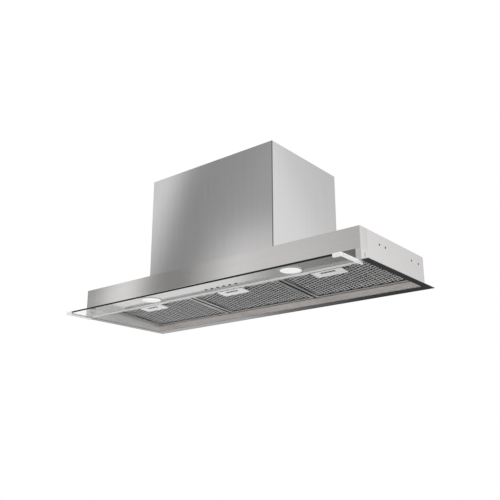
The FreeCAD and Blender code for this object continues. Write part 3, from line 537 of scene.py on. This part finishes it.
def build_filter_mesh(number):
    """One filter's expanded metal in the place of its coarse sheet: two faces and a core, the core
    nearly black as painted shade.
    """
    node = "filter_mesh_%d" % number
    low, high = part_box(node)
    centre = (low + high) / 2
    turn = Matrix.Rotation(-FILTER_TILT, 4, "X")
    flat = [turn.inverted() @ (v.co - centre) for v in nodes[node].data.vertices]
    reach = Vector([max(abs(p[axis]) for p in flat) for axis in range(3)])
    place = Matrix.Translation(centre) @ turn
    face_level = reach.z - LAYER_INSET

    def laid(level, scale, strand, over=0.0):
        """One layer at a height from the filter's middle, turned over by an angle."""
        long, short = LATTICE_LONG * scale, LATTICE_SHORT * scale
        sheet = lattice_sheet(2 * reach.x, 2 * reach.y, long, short, strand)
        lift = Matrix.Translation((0, 0, level))
        sheet.data.transform(place @ lift @ Matrix.Rotation(over, 4, "X"))
        return sheet

    lower = laid(-face_level, 1.0, STRAND_HALF)
    upper = laid(face_level, 1.0, STRAND_HALF, over=math.pi)
    faces = joined([lower, upper])
    finished(faces, "filter_%d_face_mesh" % number, node, finish_of["filter_mesh_metal"])
    # The core layer carries the painted shade inside the filter.
    core = laid(face_level * CORE_LEVEL_SHARE, CORE_SCALE, CORE_STRAND_HALF)
    finished(core, "filter_%d_core_mesh" % number, node, core_painted_shade)


# Pane, folded sheets and flange

PANEL_FOLD = 1.2 * MM
HOUSING_FOLD = 1.8 * MM
SHORTEST_FOLD = 2.0 * MM
ON_FOLD = 0.15


def build_pane():
    """The visor's pane again, with its front edge painted nearly black as shade and pale ground
    edges elsewhere.
    """
    piece = copied("visor_glass")
    finished(piece, "visor_pane", "visor_glass", finish_of["visor_glass"])
    piece.data.materials.append(front_edge_painted_shade)
    piece.data.materials.append(rear_edge)
    for face in piece.data.polygons:
        if abs(face.normal.z) > LEVEL_FACE:
            face.material_index = 0
        else:
            # Edge faces towards the front get the painted shade, the others the pale ground edge.
            face.material_index = 1 if face.normal.y < -LEVEL_FACE else 2


def folded(node, radius, is_fold, painted_fold_shade=None):
    """A CAD piece again, with its outer folds rounded; is_fold picks the edges by their ends."""
    piece = copied(node)
    weight = piece.data.attributes.new("bevel_weight_edge", "FLOAT", "EDGE")
    for edge in piece.data.edges:
        first, second = (piece.data.vertices[number].co for number in edge.vertices)
        weight.data[edge.index].value = 1.0 if is_fold(first, second) else 0.0
    ease = piece.modifiers.new("ease", "BEVEL")
    ease.width = radius
    ease.segments = FOLD_SEGMENTS
    ease.limit_method = "WEIGHT"
    round_off(piece)
    piece = finished(piece, node + "_folded", node, finish_of[slots[node]])
    # The rounded fold faces may get a darker copy of the steel: painted shade along the folds.
    if painted_fold_shade:
        piece.data.materials.append(painted_fold_shade)
        for face in piece.data.polygons:
            slant = min(abs(face.normal.x), abs(face.normal.y))
            face.material_index = 1 if slant > ON_FOLD else 0
    return piece


def upright_corner(node, at_rear=False):
    """A test for the edges that are a piece's outer upright corners, at its front or rear."""
    low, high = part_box(node)
    depth = high.y if at_rear else low.y

    def says(first, second):
        return (
            abs(first.x - second.x) < MICRON
            and min(abs(first.x - low.x), abs(first.x - high.x)) < MERGE_REACH
            and max(abs(first.y - depth), abs(second.y - depth)) < MERGE_REACH
            and abs(first.z - second.z) > SHORTEST_FOLD
        )

    return says


def build_flange():
    """The mounting flange again, with its underside painted darker as shade."""
    piece = copied("mounting_flange")
    finished(piece, "flange_sheet", "mounting_flange", finish_of["flange_steel"])
    piece.data.materials.append(flange_underside_painted_shade)
    for face in piece.data.polygons:
        # Downward faces get the darker steel of the painted shade.
        face.material_index = 1 if face.normal.z < -LEVEL_FACE else 0


WALL_MIDDLE = 0.45 * MM
WALL_MIDDLE_ROOM = 0.3 * MM
INNER_FACE_REACH = 2.0 * MM
LARGEST_HOLE_FACE = 4.0 * MM * MM
ACROSS_HOLE = 0.1


def build_canopy():
    """The canopy's sheet again, with a paler satin inner face as painted light and dark screw
    holes as painted shade.
    """
    piece = folded("canopy_shell", PANEL_FOLD, upright_corner("canopy_shell", at_rear=True))
    piece.data.materials.append(canopy_inside_painted_light)
    piece.data.materials.append(hole_shade)
    low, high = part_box("canopy_shell")
    middle = (low + high) / 2
    for face in piece.data.polygons:
        spot = face.center
        inward = face.normal.dot(middle - spot) > 0.0
        near_end = min(abs(spot.x - low.x), abs(spot.x - high.x), abs(spot.y - high.y))
        in_wall = abs(abs(spot.x) - (high.x - WALL_MIDDLE)) < WALL_MIDDLE_ROOM
        in_hole = abs(face.normal.x) < ACROSS_HOLE and face.area < LARGEST_HOLE_FACE
        # Faces inside the screw holes get the painted shade.
        if in_wall and in_hole:
            face.material_index = 2
        # Inner faces of the end walls get the painted light.
        elif inward and near_end < INNER_FACE_REACH and abs(face.normal.z) < LEVEL_FACE:
            face.material_index = 1


for number in FILTER_NUMBERS:
    build_filter_mesh(number)
build_pane()
build_canopy()
folded("front_panel", PANEL_FOLD, upright_corner("front_panel"))
folded("housing_wrap", HOUSING_FOLD, upright_corner("housing_wrap"), housing_fold_painted_shade)
build_flange()
for pattern, members, width in EASED:
    for member in members:
        eased(pattern % member, width * MM)


# Stage, light and camera

WHITE = (1.0, 1.0, 1.0, 1.0)
BLACK = (0.0, 0.0, 0.0, 1.0)
AMBIENT_STRENGTH = 0.55

FLOOR_LEVEL = -0.95
FLOOR_SIZE = 80.0
FLOOR_GREY = (0.60, 0.60, 0.60, 1.0)
FLOOR_ROUGHNESS = 0.9
FADE_FROM, FADE_TO = 1.5, 5.0


def flat_card(name, width, height, place, facing):
    """An upright or level rectangle of the stage, facing the way given."""
    select_nothing()
    bpy.ops.mesh.primitive_plane_add(size=1.0, location=AT_ORIGIN)
    card = bpy.context.object
    card.name = name
    turn = Vector(facing).to_track_quat("Z", "Y").to_matrix().to_4x4()
    size = Matrix.Diagonal((width, height, 1.0, 1.0))
    card.data.transform(Matrix.Translation(place) @ turn @ size)
    return card


def seen_directly(tree):
    """1 for the rays that see a thing or its mirror image, and 0 for those that light others."""
    path = tree.nodes.new("ShaderNodeLightPath")
    seen = path.outputs["Is Camera Ray"]
    for kind in ("Is Glossy Ray", "Is Transmission Ray"):
        either = tree.nodes.new("ShaderNodeMath")
        either.operation = "MAXIMUM"
        tree.links.new(seen, either.inputs[0])
        tree.links.new(path.outputs[kind], either.inputs[1])
        seen = either.outputs[0]
    return seen


def mix_into(tree, share, first, second, output):
    """Two shaders mixed by a share and led to the tree's output."""
    mix = tree.nodes.new("ShaderNodeMixShader")
    for number, socket in enumerate((share, first, second)):
        tree.links.new(socket, mix.inputs[number])
    tree.links.new(mix.outputs[0], tree.nodes[output].inputs[0])


def build_floor():
    """A plain pale floor that fades into the white of the background."""
    floor = flat_card("floor", FLOOR_SIZE, FLOOR_SIZE, (0.0, 0.0, FLOOR_LEVEL), (0.0, 0.0, 1.0))
    paint = Finish("floor_white", 0.0)
    paint.feed("Base Color", FLOOR_GREY)
    paint.feed("Roughness", FLOOR_ROUGHNESS)
    distance = paint.node(
        "ShaderNodeVectorMath", {"operation": "LENGTH"}, {0: paint.place}, "Value"
    )
    far = paint.node(
        "ShaderNodeMapRange", {"interpolation_type": "SMOOTHSTEP"},
        {"Value": distance, "From Min": FADE_FROM, "From Max": FADE_TO},
    )
    tree = paint.tree
    share = far * Field(paint, seen_directly(tree))
    glow = tree.nodes.new("ShaderNodeEmission")
    mix_into(tree, share.socket, paint.shader.outputs[0], glow.outputs[0], "Material Output")
    floor.data.materials.append(paint.material)


def build_world():
    """Even light from all round, and a white background behind it."""
    world = bpy.data.worlds.new("studio")
    bpy.context.scene.world = world
    world.use_nodes = True
    tree = world.node_tree
    back = tree.nodes["Background"]
    back.inputs["Color"].default_value = WHITE
    back.inputs["Strength"].default_value = AMBIENT_STRENGTH
    white = tree.nodes.new("ShaderNodeBackground")
    white.inputs["Color"].default_value = WHITE
    mix_into(tree, seen_directly(tree), back.outputs[0], white.outputs[0], "World Output")


def softbox(name, place, aim, size, watts):
    """A square area lamp turned towards a point of the hood."""
    data = bpy.data.lights.new(name, "AREA")
    data.size = size
    data.energy = watts
    lamp = bpy.data.objects.new(name, data)
    bpy.context.scene.collection.objects.link(lamp)
    lamp.location = place
    lamp.rotation_euler = (Vector(aim) - Vector(place)).to_track_quat("-Z", "Y").to_euler()
    lamp.visible_glossy = False
    lamp.visible_camera = False


def reflected_card(name, width, height, place, facing, tone_of):
    """A card that shows only in reflections; its tone comes from its own coordinates."""
    card = flat_card(name, width, height, place, facing)
    tone = Finish(name, 0.0)
    tone.feed("Base Color", BLACK)
    tone.feed("Specular IOR Level", 0.0)
    tone.feed("Emission Color", tone_of(tone))
    tone.feed("Emission Strength", 1.0)
    card.data.materials.append(tone.material)
    card.visible_camera = False
    card.visible_diffuse = False
    card.visible_shadow = False
    card.visible_transmission = False
    card.visible_volume_scatter = False


def ramped(tone, where, span, levels):
    """Grey levels at stated places along a line, eased from one to the next."""
    low, high = span
    share = tone.node(
        "ShaderNodeMapRange", {}, {"Value": where, "From Min": low, "From Max": high}
    )
    stops = [((at - low) / (high - low), (level, level, level, 1.0)) for at, level in levels]
    ramp = tone.node("ShaderNodeValToRGB", {"stops": stops}, {"Fac": share})
    ramp.socket.node.color_ramp.interpolation = "EASE"
    return ramp


def axis_of(tone, axis):
    """One of a card's own coordinates, by its letter."""
    return tone.node("ShaderNodeSeparateXYZ", {}, {0: tone.place}, axis)


# Tones of the cards: where each card's line starts and ends, and the grey levels at places
# along it. The front card's are given for its lower and upper part, which share their left.

FRONT_LEAN_FROM = 1.294
FRONT_LEAN = 0.43
FRONT_UPPER_FROM, FRONT_UPPER_TO = 1.30, 1.80
FRONT_SPAN = (-5.0, -0.8)
FRONT_LEFT = (
    (-4.6, 0.42), (-4.42, 0.56), (-4.25, 1.05), (-3.94, 1.22), (-3.77, 0.66), (-3.58, 0.31),
)
FRONT_LOWER = FRONT_LEFT + (
    (-3.2, 0.32), (-2.95, 0.62), (-2.65, 0.99), (-2.2, 0.86), (-1.2, 0.66),
)
FRONT_UPPER = FRONT_LEFT + ((-3.0, 0.42), (-2.6, 0.51), (-1.2, 0.48))

FLOOR_SKEW = 0.65
FLOOR_SPAN = (-2.0, 2.0)
FLOOR_LEVELS = (
    (-1.6, 0.88), (-0.64, 0.86), (-0.40, 0.55), (-0.20, 0.36),
    (0.05, 0.28), (0.36, 0.21), (0.52, 0.12), (1.2, 0.10),
)

SIDE_LEAN = 0.36
SIDE_SPAN = (0.8, 2.4)
SIDE_LEVELS = (
    (1.0, 0.76), (1.42, 0.79), (1.62, 0.84), (1.74, 0.93), (1.85, 1.06), (2.2, 1.10),
)


def front_tone(tone):
    """A bright card with a dark gap, darker higher up, as beside a studio window."""
    rise = (axis_of(tone, "Z") - FRONT_LEAN_FROM).at_least(0.0)
    across = axis_of(tone, "X") - rise * FRONT_LEAN
    higher = tone.node(
        "ShaderNodeMapRange", {"interpolation_type": "SMOOTHSTEP"},
        {
            "Value": axis_of(tone, "Z"),
            "From Min": FRONT_UPPER_FROM, "From Max": FRONT_UPPER_TO,
        },
    )
    lower = ramped(tone, across, FRONT_SPAN, FRONT_LOWER)
    upper = ramped(tone, across, FRONT_SPAN, FRONT_UPPER)
    return tone.blend(higher, lower, upper)


def floor_tone(tone):
    """Dark below the hood's right end, paler to the left."""
    across = axis_of(tone, "X") + axis_of(tone, "Y") * FLOOR_SKEW
    return ramped(tone, across, FLOOR_SPAN, FLOOR_LEVELS)


def side_tone(tone):
    """Bright towards the front and duller towards the rear, as the right-hand faces mirror it."""
    across = axis_of(tone, "X") - axis_of(tone, "Z") * SIDE_LEAN
    return ramped(tone, across, SIDE_SPAN, SIDE_LEVELS)


# Name, place, point that it is aimed at, size in metres and power in watts
SOFTBOXES = (
    ("key_light", (-1.9, -2.3, 2.2), (0.0, -0.15, 0.1), 2.4, 60.0),
    ("side_light", (2.6, -0.6, 1.2), (0.1, -0.15, 0.1), 2.0, 35.0),
    ("floor_bounce", (0.2, -0.4, -0.92), (0.2, -0.4, 0.0), 3.0, 17.0),
)

# Name, width, height, middle, the way that it faces and its tone
CARDS = (
    ("side_card", 6.0, 6.0, (3.5, 3.0, 2.5), (0.0, -1.0, 0.0), side_tone),
    ("front_card", 5.2, 4.32, (-2.6, -3.5, 1.24), (0.0, 1.0, 0.0), front_tone),
    ("floor_card", 17.5, 14.0, (-7.25, 8.0, -0.93), (0.0, 0.0, 1.0), floor_tone),
)

CAMERA_PLACE = (1.0872, -1.4640, -0.4033)
CAMERA_LOOK = (-0.5982, 0.7414, 0.3039)
LENS_MM = 50.0
SENSOR_MM = 36.0
CLIP_END = 200.0


def build_camera():
    """The photograph's viewpoint: below the hood, to its front right."""
    data = bpy.data.cameras.new("viewpoint")
    data.lens = LENS_MM
    data.sensor_width = SENSOR_MM
    data.clip_end = CLIP_END
    camera = bpy.data.objects.new("viewpoint", data)
    bpy.context.scene.collection.objects.link(camera)
    camera.location = CAMERA_PLACE
    camera.rotation_euler = Vector(CAMERA_LOOK).to_track_quat("-Z", "Y").to_euler()
    bpy.context.scene.camera = camera


build_floor()
build_world()
for lamp_values in SOFTBOXES:
    softbox(*lamp_values)
for card_values in CARDS:
    reflected_card(*card_values)
build_camera()
bpy.context.scene.view_settings.view_transform = "Standard"
